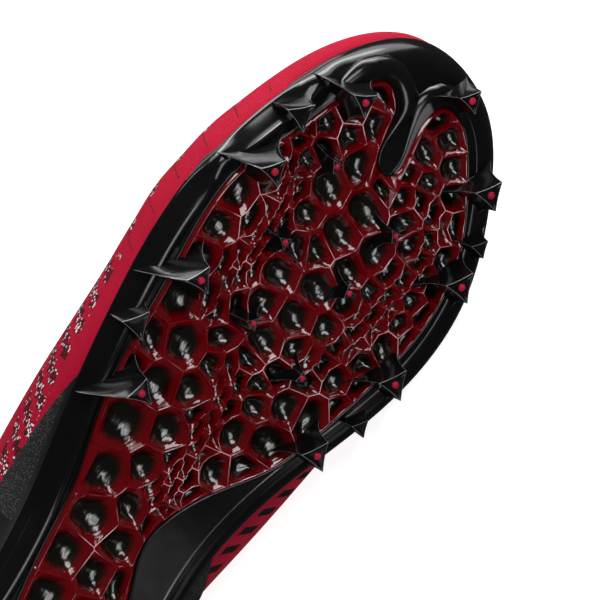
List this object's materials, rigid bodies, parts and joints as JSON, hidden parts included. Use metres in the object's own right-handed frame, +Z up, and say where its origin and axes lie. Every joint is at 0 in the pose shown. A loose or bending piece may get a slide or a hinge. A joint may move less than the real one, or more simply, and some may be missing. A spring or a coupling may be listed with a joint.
{
  "type": "football cleat",
  "caption": "Low-cut football cleat for the right foot with a glossy moulded stud plate, honeycomb underside, knit upper and laced throat, lying on its side.",
  "frame": {"origin": "centre of the bounding box on the floor the shoe lies on", "axes": "+X towards the toe, -Y the way the sole faces, +Z up, with the lateral side uppermost"},
  "size_m": [0.2966, 0.0924, 0.1041],
  "materials": {
    "outsole_plate": "glossy black moulded plate and studs",
    "honeycomb_insert": "glossy dark red moulded web",
    "upper": "crimson knit",
    "heel_counter": "matte black fine-grained overlay",
    "insole": "dark cloth-topped foam",
    "tongue": "red knit",
    "lace": "black woven flat lace"
  },
  "bodies": {
    "root": {"outsole_plate": "outsole_plate", "honeycomb_insert": "honeycomb_insert", "upper": "upper", "heel_counter": "heel_counter", "insole": "insole", "tongue": "tongue", "lace": "lace"}
  },
  "joints": []
}
